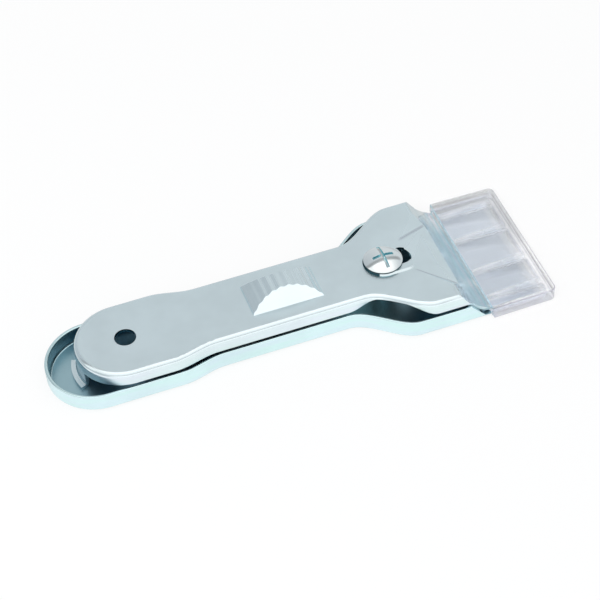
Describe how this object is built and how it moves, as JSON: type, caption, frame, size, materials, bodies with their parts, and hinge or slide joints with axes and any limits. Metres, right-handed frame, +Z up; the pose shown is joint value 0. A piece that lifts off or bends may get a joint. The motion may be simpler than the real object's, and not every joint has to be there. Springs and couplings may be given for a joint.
{
  "type": "razor blade scraper",
  "caption": "Hand scraper of pressed zinc-plated steel: a sliding upper shell clamps a wide razor blade on the lower shell, under a screw, with a clear blade guard.",
  "frame": {"origin": "on the table, at the middle of the whole length and of the width", "axes": "+X along the handle towards the blade, +Z up from the table, +Y across the blade"},
  "size_m": [0.1406, 0.045, 0.0155],
  "materials": {
    "zinc_plate": "bright blue-white zinc plate on pressed sheet, satin on the flats and polished on the bends",
    "post_steel": "turned steel, zinc plated",
    "screw_plate": "bright zinc plate",
    "blade_steel": "rolled blade steel with a ground edge",
    "clear_plastic": "clear moulded plastic with a faint lavender tint"
  },
  "bodies": {
    "base": {"lower_shell": "zinc_plate", "threaded_post": "post_steel", "razor_blade": "blade_steel"},
    "clamp": {"upper_shell": "zinc_plate"},
    "screw": {"clamp_screw": "screw_plate"},
    "guard": {"blade_guard": "clear_plastic"}
  },
  "joints": [
    {"name": "clamp_slide", "type": "slide", "parent": "base", "child": "clamp", "axis": [1, 0, 0], "range_m": [-0.0052, 0]},
    {"name": "screw_turn", "type": "hinge", "parent": "base", "child": "screw", "pos_m": [0.0273, 0, 0.008], "axis": [0, 0, 1], "continuous": true},
    {"name": "guard_slide", "type": "slide", "parent": "base", "child": "guard", "axis": [1, 0, 0], "range_m": [0, 0.022]}
  ]
}
